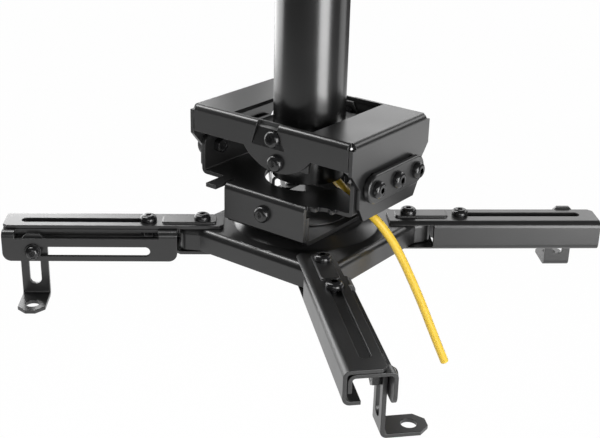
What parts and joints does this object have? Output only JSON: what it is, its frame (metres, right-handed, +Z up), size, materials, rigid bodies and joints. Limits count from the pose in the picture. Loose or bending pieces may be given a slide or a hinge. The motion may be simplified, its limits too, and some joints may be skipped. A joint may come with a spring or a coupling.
{
  "type": "projector ceiling mount",
  "caption": "Black steel projector ceiling mount: short pole, roll and pitch brackets, and a swivelling spider with telescopic slotted arms that end in sliding feet.",
  "frame": {"origin": "centre of the ceiling plate's top face, which lies on the ceiling", "axes": "+Z up to the ceiling, X along the roll bracket's long side, Y from the front flange to the back"},
  "size_m": [0.3372, 0.327, 0.3362],
  "materials": {
    "black_steel": "satin black powder coat",
    "black_bolts": "glossy black oxide",
    "yellow_cable": "smooth yellow cable jacket"
  },
  "bodies": {
    "pole_mount": {"ceiling_plate": "black_steel", "pole": "black_steel", "pole_fixing_screws": "black_bolts", "yoke": "black_steel", "roll_pivot_screws": "black_bolts", "roll_spacers": "black_bolts", "roll_pivot_nuts": "black_bolts", "cable": "yellow_cable"},
    "roll_head": {"roll_bracket": "black_steel", "roll_lock_screws": "black_bolts"},
    "pitch_head": {"side_strip_left": "black_steel", "side_strip_right": "black_steel", "pitch_screws": "black_bolts", "pitch_nuts": "black_bolts", "pitch_bracket": "black_steel", "swivel_bracket": "black_steel", "flange_screws": "black_bolts", "flange_nuts": "black_bolts"},
    "spider": {"swivel_hub": "black_steel", "hub_ring": "black_steel", "spider_plate": "black_steel", "arm_pivot_screws": "black_bolts", "arm_pivot_nuts": "black_bolts"},
    "arm_body_1": {"arm_1": "black_steel"},
    "slider_body_1": {"slider_1": "black_steel", "clamp_screw_1": "black_bolts", "clamp_nut_1": "black_bolts"},
    "foot_carrier_body_1": {"foot_screw_1": "black_bolts", "foot_nut_1": "black_bolts"},
    "foot_body_1": {"foot_1": "black_steel"},
    "arm_body_2": {"arm_2": "black_steel"},
    "slider_body_2": {"slider_2": "black_steel", "clamp_screw_2": "black_bolts", "clamp_nut_2": "black_bolts"},
    "foot_carrier_body_2": {"foot_screw_2": "black_bolts", "foot_nut_2": "black_bolts"},
    "foot_body_2": {"foot_2": "black_steel"},
    "arm_body_3": {"arm_3": "black_steel"},
    "slider_body_3": {"slider_3": "black_steel", "clamp_screw_3": "black_bolts", "clamp_nut_3": "black_bolts"},
    "foot_carrier_body_3": {"foot_screw_3": "black_bolts", "foot_nut_3": "black_bolts"},
    "foot_body_3": {"foot_3": "black_steel"},
    "arm_body_4": {"arm_4": "black_steel"},
    "slider_body_4": {"slider_4": "black_steel", "clamp_screw_4": "black_bolts", "clamp_nut_4": "black_bolts"},
    "foot_carrier_body_4": {"foot_screw_4": "black_bolts", "foot_nut_4": "black_bolts"},
    "foot_body_4": {"foot_4": "black_steel"}
  },
  "joints": [
    {"name": "roll", "type": "hinge", "parent": "pole_mount", "child": "roll_head", "pos_m": [0.0075, 0, -0.1858], "axis": [0, 1, 0], "range_deg": [-8, 8], "deforming": ["cable"]},
    {"name": "pitch", "type": "hinge", "parent": "roll_head", "child": "pitch_head", "pos_m": [0, 0, -0.194], "axis": [1, 0, 0], "range_deg": [-15, 15], "deforming": ["cable"]},
    {"name": "swivel", "type": "hinge", "parent": "pitch_head", "child": "spider", "pos_m": [0, 0, -0.239], "axis": [0, 0, 1], "continuous": true, "deforming": ["cable"]},
    {"name": "arm_1_swing", "type": "hinge", "parent": "spider", "child": "arm_body_1", "pos_m": [-0.0525, -0.0525, -0.244], "axis": [0, 0, 1], "range_deg": [-34.6, 45.4]},
    {"name": "arm_1_extend", "type": "slide", "parent": "arm_body_1", "child": "slider_body_1", "axis": [-0.7705, -0.6374, 0], "range_m": [0, 0.084]},
    {"name": "foot_1_slide", "type": "slide", "parent": "slider_body_1", "child": "foot_carrier_body_1", "axis": [-0.7705, -0.6374, 0], "range_m": [-0.0765, 0.001]},
    {"name": "foot_1_height", "type": "slide", "parent": "foot_carrier_body_1", "child": "foot_body_1", "axis": [0, 0, 1], "range_m": [-0.001, 0.022]},
    {"name": "arm_2_swing", "type": "hinge", "parent": "spider", "child": "arm_body_2", "pos_m": [0.0525, -0.0525, -0.244], "axis": [0, 0, 1], "range_deg": [-42.2, 37.8]},
    {"name": "arm_2_extend", "type": "slide", "parent": "arm_body_2", "child": "slider_body_2", "axis": [0.7337, -0.6794, 0], "range_m": [0, 0.084]},
    {"name": "foot_2_slide", "type": "slide", "parent": "slider_body_2", "child": "foot_carrier_body_2", "axis": [0.7337, -0.6794, 0], "range_m": [-0.0765, 0.001]},
    {"name": "foot_2_height", "type": "slide", "parent": "foot_carrier_body_2", "child": "foot_body_2", "axis": [0, 0, 1], "range_m": [-0.001, 0.022]},
    {"name": "arm_3_swing", "type": "hinge", "parent": "spider", "child": "arm_body_3", "pos_m": [0.0525, 0.0525, -0.244], "axis": [0, 0, 1], "range_deg": [-35.6, 44.4]},
    {"name": "arm_3_extend", "type": "slide", "parent": "arm_body_3", "child": "slider_body_3", "axis": [0.7593, 0.6508, 0], "range_m": [0, 0.084]},
    {"name": "foot_3_slide", "type": "slide", "parent": "slider_body_3", "child": "foot_carrier_body_3", "axis": [0.7593, 0.6508, 0], "range_m": [-0.0765, 0.001]},
    {"name": "foot_3_height", "type": "slide", "parent": "foot_carrier_body_3", "child": "foot_body_3", "axis": [0, 0, 1], "range_m": [-0.008, 0.015]},
    {"name": "arm_4_swing", "type": "hinge", "parent": "spider", "child": "arm_body_4", "pos_m": [-0.0525, 0.0525, -0.244], "axis": [0, 0, 1], "range_deg": [-36, 44]},
    {"name": "arm_4_extend", "type": "slide", "parent": "arm_body_4", "child": "slider_body_4", "axis": [-0.6561, 0.7547, 0], "range_m": [0, 0.084]},
    {"name": "foot_4_slide", "type": "slide", "parent": "slider_body_4", "child": "foot_carrier_body_4", "axis": [-0.6561, 0.7547, 0], "range_m": [-0.0765, 0.001]},
    {"name": "foot_4_height", "type": "slide", "parent": "foot_carrier_body_4", "child": "foot_body_4", "axis": [0, 0, 1], "range_m": [-0.001, 0.022]}
  ]
}
